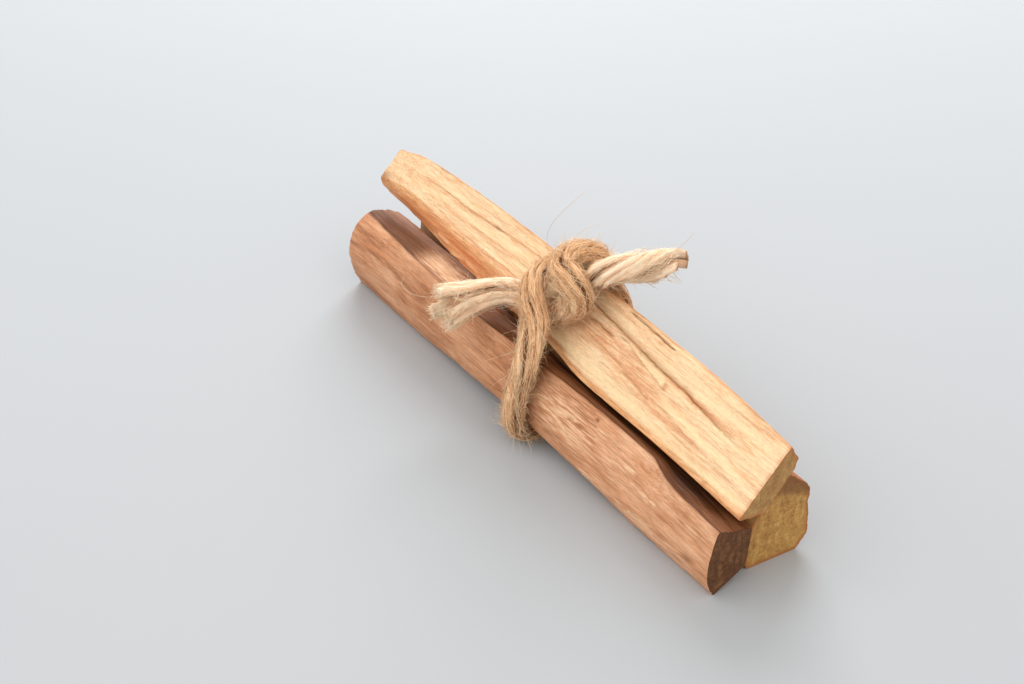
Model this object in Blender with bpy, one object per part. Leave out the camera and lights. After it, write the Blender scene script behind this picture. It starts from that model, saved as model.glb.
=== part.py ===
"""A bundle of three split palo santo sticks, tied round the middle with one piece of jute twine.

The sticks lie along X, +X being the end where all three are cut square, and rest on Z = 0.
Sizes are in millimetres. Section corners and the twine's route are measured from the left
stick's lowest edge, and the whole bundle is then centred over the origin.
"""

import math

import bmesh
import bpy
import numpy as np
from mathutils import Vector

MM = 0.001

# Driving dimensions, in millimetres
STICK_LENGTH = 100.0
TWINE_WIDTH = 4.4
TWINE_PRESSED = 2.7
TWINE_UNDERNEATH = 2.2
CENTRE_X = -0.62
CENTRE_Y = 8.92

HALF_LENGTH = STICK_LENGTH / 2
STICK_STATIONS = 46
TWINE_STATIONS = 112
TWINE_SIDES = 12

# Each stick's key sections, as (place along it from -1 to 1, corners as (y, z)). The corners run
# round the stick in the same order every time, from its highest edge down its left side.
LEFT_SECTIONS = [
    (-1.00, [
        (2.4, 15.2), (-0.8, 13.2), (-2.5, 8.6), (-1.5, 3.1), (0.0, 0.0),
        (7.4, 1.2), (11.4, 5.2), (11.5, 9.5), (7.8, 13.3),
    ]),
    (-0.60, [
        (0.9, 15.2), (-1.2, 12.4), (-2.3, 8.2), (-1.9, 3.4), (0.0, 0.0),
        (6.8, 1.8), (9.0, 5.6), (9.8, 9.8), (8.4, 13.2),
    ]),
    (-0.25, [
        (0.7, 14.8), (-1.2, 11.8), (-2.1, 7.8), (-1.9, 3.4), (0.3, 1.6),
        (6.2, 2.8), (7.8, 6.4), (8.5, 9.9), (6.9, 12.6),
    ]),
    (0.08, [
        (1.9, 14.4), (-0.5, 11.6), (-1.9, 7.6), (-1.9, 3.6), (0.6, 2.85),
        (6.0, 3.2), (7.2, 6.8), (7.7, 10.2), (6.4, 12.1),
    ]),
    (0.40, [
        (2.5, 14.0), (0.0, 11.2), (-1.6, 7.3), (-1.8, 3.4), (0.2, 1.0),
        (6.1, 3.0), (6.9, 6.8), (7.2, 10.2), (6.3, 11.7),
    ]),
    (0.62, [
        (2.6, 13.7), (0.1, 10.9), (-1.4, 7.1), (-1.7, 3.4), (0.0, 0.0),
        (6.1, 2.9), (6.8, 6.8), (7.0, 10.3), (6.2, 11.5),
    ]),
    (0.76, [
        (0.7, 13.4), (-0.7, 10.6), (-1.5, 7.0), (-1.7, 3.4), (0.0, 0.0),
        (6.1, 2.9), (6.7, 6.8), (6.9, 10.4), (5.6, 11.6),
    ]),
    (1.00, [
        (0.1, 13.2), (-0.9, 10.3), (-1.6, 6.9), (-1.7, 3.4), (0.0, 0.0),
        (6.1, 2.9), (6.6, 6.8), (6.8, 10.4), (4.8, 11.3),
    ]),
]
RIGHT_SECTIONS = [
    (-1.00, [
        (15.6, 16.2), (14.4, 12.6), (13.9, 8.4), (13.5, 4.2), (13.8, 0.0),
        (20.0, 0.0), (21.2, 3.4), (20.6, 9.0), (18.9, 13.2),
    ]),
    (-0.55, [
        (14.8, 16.6), (11.9, 12.6), (11.2, 8.6), (10.8, 4.2), (11.4, 0.0),
        (18.9, 0.0), (20.4, 3.4), (19.7, 9.2), (18.4, 13.5),
    ]),
    (0.08, [
        (14.9, 16.4), (10.2, 11.5), (8.7, 8.8), (8.0, 4.6), (8.6, 2.85),
        (17.4, 2.85), (19.3, 4.8), (18.9, 9.8), (18.0, 13.8),
    ]),
    (0.55, [
        (14.2, 16.7), (9.4, 11.1), (7.9, 8.4), (7.2, 3.9), (8.0, 0.0),
        (17.3, 0.0), (19.2, 3.0), (18.3, 9.2), (18.4, 13.2),
    ]),
    (1.00, [
        (13.8, 17.1), (9.0, 11.0), (7.6, 8.2), (6.9, 3.5), (7.8, 0.0),
        (17.2, 0.0), (19.1, 2.9), (18.2, 9.0), (18.3, 13.2),
    ]),
]
TOP_SECTIONS = [
    (-1.00, [
        (10.9, 24.6), (8.8, 22.4), (6.4, 20.2), (6.7, 18.4), (8.2, 15.9),
        (10.4, 17.3), (12.8, 19.2), (13.2, 21.9),
    ]),
    (-0.90, [
        (13.2, 24.6), (10.7, 22.0), (8.2, 19.6), (7.6, 17.6), (8.3, 15.4),
        (10.6, 17.0), (14.0, 19.5), (14.8, 22.0),
    ]),
    (-0.60, [
        (14.2, 24.6), (11.6, 21.4), (8.8, 18.2), (7.8, 16.4), (7.3, 14.6),
        (10.2, 16.2), (15.0, 19.4), (15.8, 21.8),
    ]),
    (-0.22, [
        (14.7, 24.3), (11.2, 20.8), (7.9, 17.6), (7.0, 15.9), (6.4, 14.1),
        (10.3, 14.2), (15.5, 19.0), (16.3, 21.3),
    ]),
    (0.02, [
        (15.3, 23.5), (10.9, 19.3), (6.5, 15.1), (5.9, 14.5), (6.6, 13.7),
        (10.6, 13.3), (16.0, 18.6), (16.7, 20.6),
    ]),
    (0.22, [
        (15.6, 23.5), (10.5, 18.7), (5.4, 13.9), (5.0, 13.5), (6.0, 13.1),
        (10.2, 12.7), (16.2, 18.5), (17.0, 20.4),
    ]),
    (0.60, [
        (14.9, 23.6), (9.9, 18.9), (5.1, 14.2), (4.6, 13.7), (5.6, 13.2),
        (9.6, 12.4), (15.4, 18.5), (16.4, 20.5),
    ]),
    (1.00, [
        (13.3, 23.3), (8.5, 18.5), (4.2, 14.2), (3.7, 13.6), (4.8, 13.1),
        (9.2, 12.1), (14.4, 18.3), (15.0, 20.1),
    ]),
]

# How each stick is built. Splits are the parts that each span between corners is divided into,
# and relief is how far those parts swell or sink along the grain. A cut is (offset, slant per Y,
# slant per Z) of an end. A chip is (place, reach, depth, columns counted from the highest edge).
STICKS = {
    "stick_left": {
        "sections": LEFT_SECTIONS,
        "splits": (3, 3, 3, 2, 3, 2, 2, 2, 3),
        "relief": (0.25, 0.25, 0.2, 0.1, 0.1, 0.15, 0.1, 0.15, 0.3),
        "seed": 11,
        "near_cut": (0.0, 0.02, 0.0),
        "far_cut": (0.0, -0.03, 0.02),
        "chip": (33.0, 7.0, 0.5, (2, 3)),
        "material": ("reddish_brown_wood", (0.42, 0.19, 0.09), 0.65),
    },
    "stick_right": {
        "sections": RIGHT_SECTIONS,
        "splits": (2, 2, 2, 2, 3, 3, 3, 3, 3),
        "relief": (0.1, 0.1, 0.1, 0.1, 0.0, 0.2, 0.3, 0.3, 0.3),
        "seed": 23,
        "near_cut": (-0.3, 0.12, 0.0),
        "far_cut": (0.0, 0.05, 0.03),
        "chip": (20.0, 9.0, 0.6, (15, 16)),
        "material": ("olive_gold_wood", (0.52, 0.34, 0.13), 0.68),
    },
    "stick_top": {
        "sections": TOP_SECTIONS,
        "splits": (4, 4, 2, 2, 2, 3, 2, 3),
        "relief": (0.25, 0.25, 0.12, 0.12, 0.05, 0.05, 0.15, 0.2),
        "seed": 37,
        "near_cut": (0.0, 0.0, 0.0),
        "far_cut": (-0.7, 0.12, -0.1),
        "chip": (29.0, 12.0, 0.35, (6, 7)),
        "material": ("pale_split_wood", (0.80, 0.58, 0.33), 0.65),
    },
}
TWINE_MATERIAL = ("jute_twine", (0.50, 0.34, 0.19), 0.9)

# The top stick's upper face, under the knot: a point just past its right edge, and its slope
FACE_POINT = (15.9, 24.1)
FACE_SLOPE = math.radians(43.5)


def on_face(x, across, height):
    """The (x, y, z) of a point over the top stick's upper face: across is along the face,
    towards its right edge, and height is how far it stands off the face."""
    cosine, sine = math.cos(FACE_SLOPE), math.sin(FACE_SLOPE)
    y = FACE_POINT[0] + across * cosine - height * sine
    z = FACE_POINT[1] + across * sine + height * cosine
    return (x, y, z)


# The twine's centreline from its left end to its right end, as (point, width, thickness). Its
# two strands cross three times over the top stick, as they do in any overhand knot.
LEFT_END = [
    ((-12.1, -7.37, 19.7), 7.2, 6.2),
    ((-12.0, -4.5, 19.6), 6.2, 5.6),
    ((-11.9, -1.2, 19.4), 5.2, 5.0),
    ((-11.4, 2.2, 19.1), 4.6, 4.4),
    ((-9.6, 4.9, 19.4), 4.2, 4.2),
    ((-6.6, 6.2, 19.6), 3.9, 3.9),
]
UNDER_AND_OVER = [
    (on_face(-3.6, -10.2, 2.6), 3.8, 3.6),
    (on_face(-0.9, -9.9, 2.4), 3.9, 3.4),
    (on_face(1.5, -8.0, 2.8), 4.3, 3.6),
    (on_face(3.6, -5.7, 4.0), 4.4, 3.6),
    (on_face(4.2, -4.1, 5.9), 4.2, 3.5),
    (on_face(2.8, -3.1, 7.6), 4.2, 3.6),
    (on_face(0.3, -2.2, 8.0), 4.0, 3.6),
    (on_face(-0.8, -0.4, 7.2), 3.8, 3.6),
    (on_face(-0.4, 1.4, 5.7), 3.8, 3.6),
]
ROUND_THE_BUNDLE = [
    ((0.9, 15.4, 28.1), 3.8, 3.4),
    ((2.2, 16.5, 26.0), 4.0, 2.7),
    ((3.0, 17.4, 23.2), 4.2, 2.3),
    ((3.4, 18.5, 20.4), 4.4, 2.4),
    ((3.6, 19.5, 16.4), TWINE_WIDTH, TWINE_PRESSED),
    ((3.8, 20.5, 12.2), TWINE_WIDTH, TWINE_PRESSED),
    ((3.9, 21.0, 8.2), TWINE_WIDTH, TWINE_PRESSED),
    ((3.9, 21.2, 4.6), TWINE_WIDTH, TWINE_PRESSED),
    ((3.9, 19.9, 2.0), 4.4, 2.5),
    ((3.9, 16.8, 1.28), 4.6, TWINE_UNDERNEATH),
    ((3.8, 12.0, 1.3), 4.6, TWINE_UNDERNEATH),
    ((3.8, 7.0, 1.3), 4.6, TWINE_UNDERNEATH),
    ((3.8, 2.6, 1.3), 4.6, TWINE_UNDERNEATH),
    ((3.9, -0.6, 1.35), 4.6, TWINE_UNDERNEATH),
    ((4.0, -3.0, 2.3), 4.5, 2.4),
    ((4.1, -4.0, 4.6), TWINE_WIDTH, TWINE_PRESSED),
    ((4.1, -3.9, 7.4), TWINE_WIDTH, TWINE_PRESSED),
    ((4.1, -3.2, 10.4), TWINE_WIDTH, TWINE_PRESSED),
    ((3.7, -1.9, 13.2), TWINE_WIDTH, TWINE_PRESSED),
    ((2.6, 0.0, 15.8), 4.6, 3.0),
]
OVER_AND_UNDER = [
    ((1.6, 1.6, 18.0), 5.0, 3.2),
    ((0.6, 3.0, 20.1), 5.2, 3.3),
    (on_face(-1.1, -10.1, 6.4), 5.0, 3.5),
    (on_face(-2.8, -8.1, 6.9), 4.6, 3.6),
    (on_face(-4.5, -6.0, 6.4), 4.2, 3.6),
    (on_face(-5.1, -3.9, 4.9), 3.8, 3.6),
    (on_face(-4.2, -2.2, 3.3), 3.8, 3.5),
    (on_face(-2.1, -1.6, 2.4), 3.8, 3.3),
    (on_face(0.3, -1.5, 2.3), 3.8, 3.2),
    (on_face(2.6, -1.0, 3.2), 3.8, 3.3),
    ((4.6, 12.8, 27.6), 4.0, 3.6),
    ((6.4, 13.5, 29.2), 4.2, 3.9),
]
RIGHT_END = [
    ((8.1, 15.5, 30.1), 4.4, 4.2),
    ((9.6, 18.6, 30.2), 4.6, 4.4),
    ((11.0, 21.5, 29.8), 4.6, 4.4),
    ((12.5, 24.3, 29.3), 4.4, 4.4),
]


def smooth_values(keys, values, at):
    """A monotone cubic curve through the key values, so that a stick never bulges between them."""
    keys, values = np.asarray(keys, float), np.asarray(values, float)
    step = np.diff(keys)
    slope = np.diff(values) / step
    tangent = np.zeros(len(keys))
    tangent[0], tangent[-1] = slope[0], slope[-1]
    for i in range(1, len(keys) - 1):
        if slope[i - 1] * slope[i] > 0:
            tangent[i] = 2 * slope[i - 1] * slope[i] / (slope[i - 1] + slope[i])
    place = np.clip(np.searchsorted(keys, at) - 1, 0, len(keys) - 2)
    t = (at - keys[place]) / step[place]
    rise = values[place + 1] - values[place]
    leaving = tangent[place] * step[place]
    arriving = tangent[place + 1] * step[place]
    bend = 3 * rise - 2 * leaving - arriving
    return values[place] + leaving * t + bend * t**2 + (leaving + arriving - 2 * rise) * t**3


def grain_wave(x, seed):
    """A slow, irregular swell along the grain, between about -1 and 1."""
    rng = np.random.default_rng(seed)
    total = np.zeros_like(x)
    for cycles in (1.1, 2.3, 4.1, 6.7):
        phase = 2 * math.pi * rng.random()
        total += np.sin(2 * math.pi * cycles * x / STICK_LENGTH + phase) / cycles**0.4
    return total / 2.4


def corner_lines(sections, shares):
    """The sections' corners at each station: an array of stations by corners by (y, z)."""
    keys = [share for share, _ in sections]
    corners = np.array([outline for _, outline in sections], float)
    lines = np.zeros((len(shares), corners.shape[1], 2))
    for corner in range(corners.shape[1]):
        for axis in range(2):
            lines[:, corner, axis] = smooth_values(keys, corners[:, corner, axis], shares)
    return lines


def outward(start, end):
    """Unit normals of the spans from start to end, for outlines that run down their left side."""
    along = end - start
    normal = np.stack([along[..., 1], -along[..., 0]], -1)
    return normal / np.linalg.norm(normal, axis=-1, keepdims=True)


def grained_sections(stick, x):
    """The stick's section at each X, as stations by points by (y, z). Every span between two
    corners is divided, and the dividing lines wander and swell along the grain."""
    corners = corner_lines(stick["sections"], x / HALF_LENGTH)
    seed = stick["seed"]
    columns = []
    for span, (splits, relief) in enumerate(zip(stick["splits"], stick["relief"])):
        start, end = corners[:, span], corners[:, (span + 1) % corners.shape[1]]
        normal = outward(start, end)
        columns.append(start)
        for part in range(1, splits):
            share = part / splits + 0.06 * grain_wave(x, seed + 31 * span + part)
            swell = relief * grain_wave(x, seed + 7 * span + 3 * part + 1)
            columns.append(start + (end - start) * share[:, None] + normal * swell[:, None])
    return np.stack(columns, 1)


def cut_chip(sections, x, place, reach, depth, columns):
    """Sinks a few columns towards the stick's middle, as where a splinter has come away: a steep
    step on the far side of the place and a slow return on the near side."""
    run = (x - place) / reach
    share = np.where(run < 0, np.clip(1 + 4 * run, 0, 1), np.clip(1 - run, 0, 1))
    middle = sections.mean(axis=1)
    for column in columns:
        inward = middle - sections[:, column]
        inward /= np.linalg.norm(inward, axis=1, keepdims=True)
        sections[:, column] += inward * (depth * share)[:, None]


def slanted_x(stick, x, sections):
    """Every section point's X, which leans towards the ends as the two saw cuts do."""
    middle = sections.mean(axis=(0, 1))
    placed = np.repeat(x[:, None], sections.shape[1], axis=1)
    for cut, side in ((stick["near_cut"], 1), (stick["far_cut"], -1)):
        offset, per_y, per_z = cut
        weight = np.clip((side * x / HALF_LENGTH - 0.7) / 0.3, 0, 1)[:, None]
        slant = offset + per_y * (sections[..., 0] - middle[0]) + per_z * (sections[..., 1] - middle[1])
        placed += weight * slant
    return placed


def closed_loft(name, rings):
    """A closed solid through rings of points, with flat ends. The curve and screw tools can't
    make it, because the sections along a split stick or a pressed twine are unlike each other."""
    bm = bmesh.new()
    rows = [[bm.verts.new(Vector(point) * MM) for point in ring] for ring in rings]
    for row, following in zip(rows, rows[1:]):
        for i in range(len(row)):
            j = (i + 1) % len(row)
            bm.faces.new((row[i], row[j], following[j], following[i]))
    bm.faces.new(rows[0])
    bm.faces.new(rows[-1])
    bmesh.ops.recalc_face_normals(bm, faces=bm.faces)
    mesh = bpy.data.meshes.new(name)
    bm.to_mesh(mesh)
    bm.free()
    return bpy.data.objects.new(name, mesh)


def make_stick(name, stick):
    """One split stick, lofted through its grained sections."""
    x = np.linspace(-HALF_LENGTH, HALF_LENGTH, STICK_STATIONS)
    sections = grained_sections(stick, x)
    cut_chip(sections, x, *stick["chip"])
    rings = np.concatenate([slanted_x(stick, x, sections)[..., None], sections], axis=-1)
    solid = closed_loft(name, rings)
    solid.data.materials.append(make_material(*stick["material"]))
    return solid


def mix(low, high, low_time, high_time, at):
    """The value at one time on the straight line between two values."""
    return low + (high - low) * (at - low_time) / (high_time - low_time)


def curve_point(points, times, at):
    """One point of the Catmull-Rom curve between the second and third of four points."""
    first = [mix(points[i], points[i + 1], times[i], times[i + 1], at) for i in range(3)]
    second = [mix(first[i], first[i + 1], times[i], times[i + 2], at) for i in range(2)]
    return mix(second[0], second[1], times[1], times[2], at)


def even_route(points, count):
    """Evenly spaced points on the smooth curve through the given ones, with their other values."""
    points = np.asarray(points, float)
    ends = (2 * points[0] - points[1], 2 * points[-1] - points[-2])
    points = np.vstack([ends[0], points, ends[1]])
    gaps = np.linalg.norm(np.diff(points[:, :3], axis=0), axis=1)
    times = np.concatenate([[0], np.cumsum(np.sqrt(gaps))])
    fine = []
    for i in range(1, len(points) - 2):
        for at in np.linspace(times[i], times[i + 1], 24, endpoint=False):
            fine.append(curve_point(points[i - 1 : i + 3], times[i - 1 : i + 3], at))
    fine = np.array(fine + [points[-2]])
    run = np.concatenate([[0], np.cumsum(np.linalg.norm(np.diff(fine[:, :3], axis=0), axis=1))])
    even = np.linspace(0, run[-1], count)
    return np.stack([np.interp(even, run, values) for values in fine.T], axis=1)


def square_to(direction, tangent):
    """The unit part of a direction that is square to a tangent."""
    square = direction - tangent * (direction @ tangent)
    return square / np.linalg.norm(square)


def pressing_directions(route, tangent):
    """The direction in which the twine is flattened at each point: straight down under the
    bundle, and carried from there both ways without twisting."""
    pressing = np.zeros_like(tangent)
    lowest = int(np.argmin(route[:, 2]))
    pressing[lowest] = square_to(np.array([0.0, 0.0, -1.0]), tangent[lowest])
    for i in range(lowest + 1, len(route)):
        pressing[i] = square_to(pressing[i - 1], tangent[i])
    for i in range(lowest - 1, -1, -1):
        pressing[i] = square_to(pressing[i + 1], tangent[i])
    return pressing


def make_twine():
    """The tie: one length of twine with a true overhand knot, round at its ends and pressed
    flat where it is pulled tight over the sticks."""
    strand = LEFT_END + UNDER_AND_OVER + ROUND_THE_BUNDLE + OVER_AND_UNDER + RIGHT_END
    points = [(*place, width, thickness) for place, width, thickness in strand]
    route = even_route(points, TWINE_STATIONS)
    centre, width, thickness = route[:, None, :3], route[:, None, 3:4], route[:, None, 4:5]
    tangent = np.gradient(route[:, :3], axis=0)
    tangent /= np.linalg.norm(tangent, axis=1, keepdims=True)
    pressing = pressing_directions(route, tangent)
    sideways = np.cross(tangent, pressing)
    turn = np.linspace(0, 2 * math.pi, TWINE_SIDES, endpoint=False)[None, :, None]
    through = pressing[:, None] * np.cos(turn) * thickness / 2
    across = sideways[:, None] * np.sin(turn) * width / 2
    twine = closed_loft("twine_tie", centre + through + across)
    twine.data.materials.append(make_material(*TWINE_MATERIAL))
    twine.data.shade_smooth()
    twine.data.set_sharp_from_angle(angle=math.radians(40))
    return twine


def make_material(name, colour, roughness):
    """A plain finish in the piece's own colour."""
    material = bpy.data.materials.new(name)
    material.use_nodes = True
    shader = material.node_tree.nodes["Principled BSDF"]
    shader.inputs["Base Color"].default_value = (*colour, 1.0)
    shader.inputs["Roughness"].default_value = roughness
    shader.inputs["Metallic"].default_value = 0.0
    return material


def clear_scene():
    """Removes every object, so that the file holds only the bundle."""
    for obj in list(bpy.data.objects):
        bpy.data.objects.remove(obj, do_unlink=True)


def main():
    clear_scene()
    bundle = bpy.data.collections.new("palo_santo_bundle")
    bpy.context.scene.collection.children.link(bundle)
    centre = bpy.data.objects.new("bundle_centre", None)
    centre.location = (-CENTRE_X * MM, -CENTRE_Y * MM, 0)
    bundle.objects.link(centre)
    pieces = [make_stick(name, stick) for name, stick in STICKS.items()]
    pieces.append(make_twine())
    for piece in pieces:
        bundle.objects.link(piece)
        piece.parent = centre


main()
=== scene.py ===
"""How the tied bundle of palo santo sticks looks: split wood with its grain, cracks and saw marks,
and jute twine with its plies, frayed ends and loose fibres, on a pale floor in soft light.

The sticks' surfaces start from the frame's own solids and the twine repeats the part's route.
Sizes are in millimetres until a mesh is made.
"""

import math

import bmesh
import bpy
import numpy as np
from mathutils import Matrix, Vector


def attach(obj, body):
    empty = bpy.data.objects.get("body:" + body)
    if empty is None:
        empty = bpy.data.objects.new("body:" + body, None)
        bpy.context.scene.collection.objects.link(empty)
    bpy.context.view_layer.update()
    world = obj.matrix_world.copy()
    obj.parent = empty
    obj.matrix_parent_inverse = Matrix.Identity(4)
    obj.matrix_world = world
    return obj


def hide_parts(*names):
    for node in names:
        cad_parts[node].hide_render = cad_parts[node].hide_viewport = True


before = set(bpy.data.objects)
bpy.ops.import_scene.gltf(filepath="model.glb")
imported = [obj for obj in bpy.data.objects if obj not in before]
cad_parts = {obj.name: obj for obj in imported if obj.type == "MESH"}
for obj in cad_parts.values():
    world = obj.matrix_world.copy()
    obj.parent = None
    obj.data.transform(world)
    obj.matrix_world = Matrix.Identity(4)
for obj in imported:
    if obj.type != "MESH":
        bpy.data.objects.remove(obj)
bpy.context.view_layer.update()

MM = 0.001
# The part measures its route and sections from the left stick's lowest edge, and then centres them
SHIFT = np.array([0.62, -8.92, 0.0])
# Where the top stick's upper face is, to the left and up in the part's millimetres, and its slope
FACE_Y, FACE_Z = 15.9, 24.1
FACE_SLOPE = math.radians(43.5)
FACE_COS, FACE_SIN = math.cos(FACE_SLOPE), math.sin(FACE_SLOPE)
# The photograph's width and focal length in pixels, and its camera in the part's millimetres
PHOTO_WIDTH = 1024
FOCAL_LENGTH = 1700
CAMERA_PLACE = (176.9, -129.7, 188.5)
CAMERA_TURN = math.radians(54)
CAMERA_RAISED = math.radians(38)


def view_directions():
    """Right, up and back as the photograph sees them, from the near left and above."""
    cosine, sine, level = math.cos(CAMERA_TURN), math.sin(CAMERA_TURN), math.cos(CAMERA_RAISED)
    right = Vector((cosine, sine, 0))
    back = Vector((sine * level, -cosine * level, math.sin(CAMERA_RAISED)))
    return right, back.cross(right), back


# Noise and small helpers


def lattice(x, y, z, seed):
    """Repeatable random values between -1 and 1 at whole-number places."""
    value = (x * 374761393 + y * 668265263 + z * 1440662683 + seed * 974634777) & 0xFFFFFFFF
    value = ((value ^ (value >> 13)) * 1274126177) & 0xFFFFFFFF
    value = value ^ (value >> 16)
    return (value & 0xFFFF) / 32767.5 - 1


def noise(x, y, z, seed):
    """Smooth noise between -1 and 1, with features about one unit across."""
    x, y, z = np.broadcast_arrays(x, y, z)
    low = [np.floor(v).astype(np.int64) for v in (x, y, z)]
    part = [v - b for v, b in zip((x, y, z), low)]
    part = [t * t * (3 - 2 * t) for t in part]
    total = 0
    for corner in range(8):
        step = (corner & 1, corner >> 1 & 1, corner >> 2 & 1)
        weight = 1
        for t, s in zip(part, step):
            weight = weight * (t if s else 1 - t)
        total = total + weight * lattice(*(b + s for b, s in zip(low, step)), seed)
    return total


def clipped(value, most=1):
    """The value, kept between nought and the most."""
    return np.clip(value, 0, most)


def smooth_step(value):
    """Nought below nought and one above one, with a smooth ease between them."""
    value = clipped(value)
    return value * value * (3 - 2 * value)


def in_range(x, start, end, ease):
    """One between start and end, easing to nought outside them."""
    return smooth_step((x - start) / ease + 0.5) * smooth_step((end - x) / ease + 0.5)


def hump(value):
    """A bell of height one and width about one."""
    return np.exp(-value * value)


def unit(vectors):
    """The vectors' directions, each with a length of one."""
    return vectors / np.linalg.norm(vectors, axis=-1, keepdims=True)


def new_object(name, points, faces, slot_faces=None):
    """A mesh object from points in millimetres, none of them below the floor, and faces as rows
    of corner numbers."""
    points = np.array(points, float) * MM
    points[:, 2] = np.maximum(points[:, 2], 0)
    mesh = bpy.data.meshes.new(name)
    mesh.from_pydata(points.tolist(), [], faces)
    mesh.update()
    mesh.shade_smooth()
    obj = bpy.data.objects.new(name, mesh)
    bpy.context.scene.collection.objects.link(obj)
    if slot_faces is not None:
        mesh.polygons.foreach_set("material_index", slot_faces)
    return obj


def store(obj, name, values):
    """Keeps a number, or a place in millimetres, at each point of a mesh for its material."""
    values = np.asarray(values, float)
    kind, key = ("FLOAT_VECTOR", "vector") if values.ndim == 2 else ("FLOAT", "value")
    layer = obj.data.attributes.new(name, kind, "POINT")
    layer.data.foreach_set(key, values.ravel())


def tube_faces(rows, columns, first=0):
    """The faces between successive rings of points."""
    i = np.arange(rows - 1)[:, None] * columns
    j = np.arange(columns)[None, :]
    following = (j + 1) % columns
    corners = (i + j, i + following, i + columns + following, i + columns + j)
    return np.stack([c + np.zeros_like(i + j) for c in corners], -1).reshape(-1, 4) + first


def along_curve(values, place):
    """Values between rings on a smooth curve through them, at fractional ring numbers."""
    i = np.clip(place.astype(int), 0, len(values) - 2)
    t = (place - i)[:, None, None]
    padded = np.concatenate([2 * values[:1] - values[1:2], values, 2 * values[-1:] - values[-2:-1]])
    a, b, c, d = (padded[i + k] for k in range(4))
    bend = (2 * a - 5 * b + 4 * c - d) * t**2 + (3 * b - a - 3 * c + d) * t**3
    return b + 0.5 * ((c - a) * t + bend)


# The sticks' surfaces

# The least distance between two of a solid's rings
RING_GAP = 0.6


def rings_of(node, columns):
    """The node's corners as rings along X. Each ring runs from the highest edge down the left."""
    bm = bmesh.new()
    bm.from_mesh(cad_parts[node].data)
    bmesh.ops.remove_doubles(bm, verts=bm.verts, dist=1e-6)
    points = np.array([v.co[:] for v in bm.verts]) / MM
    bm.free()
    points = points[np.argsort(points[:, 0])]
    cuts = np.flatnonzero(np.diff(points[:, 0]) > RING_GAP) + 1
    rings = []
    for ring in np.split(points, cuts):
        middle = ring.mean(0)
        turn = np.arctan2(ring[:, 2] - middle[2], ring[:, 1] - middle[1])
        ring = ring[np.argsort(turn)]
        if len(ring) < columns or not rings:
            ring = np.roll(ring, -int(np.argmax(ring[:, 2])), axis=0)
        if len(ring) < columns:
            ring = respaced(ring, columns)
        elif rings:
            turns = [np.roll(ring, k, axis=0) for k in range(columns)]
            ring = min(turns, key=lambda r: ((r - rings[-1])[:, 1:] ** 2).sum())
        rings.append(ring)
    return np.array(rings)


def respaced(ring, columns, left=8, under=3):
    """A ring that lacks points on its flat underside, with its points spread evenly again down
    the left side, along the underside and up the right side."""
    closed = np.vstack([ring, ring[:1]])
    edges = np.linalg.norm(np.diff(closed, axis=0), axis=1)
    run = np.concatenate([[0], np.cumsum(edges)])
    longest = int(np.argmax(edges))
    marks = (0, run[longest], run[longest + 1], run[-1])
    places = []
    for start, end, count in zip(marks, marks[1:], (left, under, columns - left - under)):
        places.extend(np.linspace(start, end, count, endpoint=False))
    return np.stack([np.interp(places, run, values) for values in closed.T], 1)


def dense_surface(node, splits, spacing, rows):
    """A fine net over the node's rings, and each point's place round them as a corner number. Every
    span between two corners of the node's section has its own number of splits."""
    rings = rings_of(node, sum(splits))
    rings = along_curve(rings, np.linspace(0, len(rings) - 1, rows))
    numbers = [span + part / parts for span, parts in enumerate(splits) for part in range(parts)]
    numbers.append(len(splits))
    columns, places = [], []
    count = rings.shape[1]
    for j in range(count):
        start, end = rings[:, j], rings[:, (j + 1) % count]
        parts = max(1, round(np.linalg.norm(end - start, axis=1).mean() / spacing))
        for part in range(parts):
            columns.append(start + (end - start) * part / parts)
            places.append(numbers[j] + (numbers[j + 1] - numbers[j]) * part / parts)
    net = rounded(np.stack(columns, 1), 1, 2)
    return net, np.broadcast_to(places, net.shape[:2])


def rounded(net, share, passes):
    """The net with its columns smoothed round the stick, as far as the share at each place."""
    share = (share * np.ones(net.shape[:2]))[..., None]
    for _ in range(passes):
        smooth = (np.roll(net, 1, 1) + 2 * net + np.roll(net, -1, 1)) / 4
        net = net + (smooth - net) * share
    return net


def raised(net, height):
    """A net, whose columns run down its left side, moved outward by the height at each point."""
    along = np.gradient(net, axis=0)
    around = np.roll(net, -1, 1) - np.roll(net, 1, 1)
    return net + unit(np.cross(around, along)) * height[..., None]


def off_line(x, across, line, seed, wobble):
    """How far a place is across from a line given as (x, across) points, which wanders a little
    as it follows the grain."""
    wander = wobble * (noise(x / 2.2, 0, 0, seed) + 0.6 * noise(x / 0.7, 0, 0, seed + 1))
    return across - np.interp(x, *zip(*line)) - wander


def stroke(x, across, line, seed, width, ease, wobble):
    """One on a wandering line, easing to nought beside it and past its ends."""
    offset = off_line(x, across, line, seed, wobble)
    return hump(offset / width) * in_range(x, line[0][0], line[-1][0], ease)


def strokes(x, across, rows, seed, ease, wobble):
    """The strongest of several strokes, given as (line, width, strength)."""
    each = [strength * stroke(x, across, line, seed, width, ease, wobble) for line, width, strength in rows]
    return np.maximum.reduce(each)


def grain(place, along, across, seed):
    """Noise whose features are long in the direction of the grain."""
    x, y, z = place
    return noise(x / along, y / across, z / across, seed)


def grooves(place, seed):
    """The fine relief of split wood: long shallow grooves, with a few deeper, sharper ones."""
    broad = grain(place, 17, 1.3, seed)
    medium = grain(place, 9, 0.55, seed + 1)
    fine = grain(place, 4.5, 0.28, seed + 2)
    sharp = 1 - np.abs(grain(place, 12, 0.8, seed + 3))
    return 0.07 * broad + 0.05 * medium + 0.035 * fine - 0.10 * sharp**12


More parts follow.
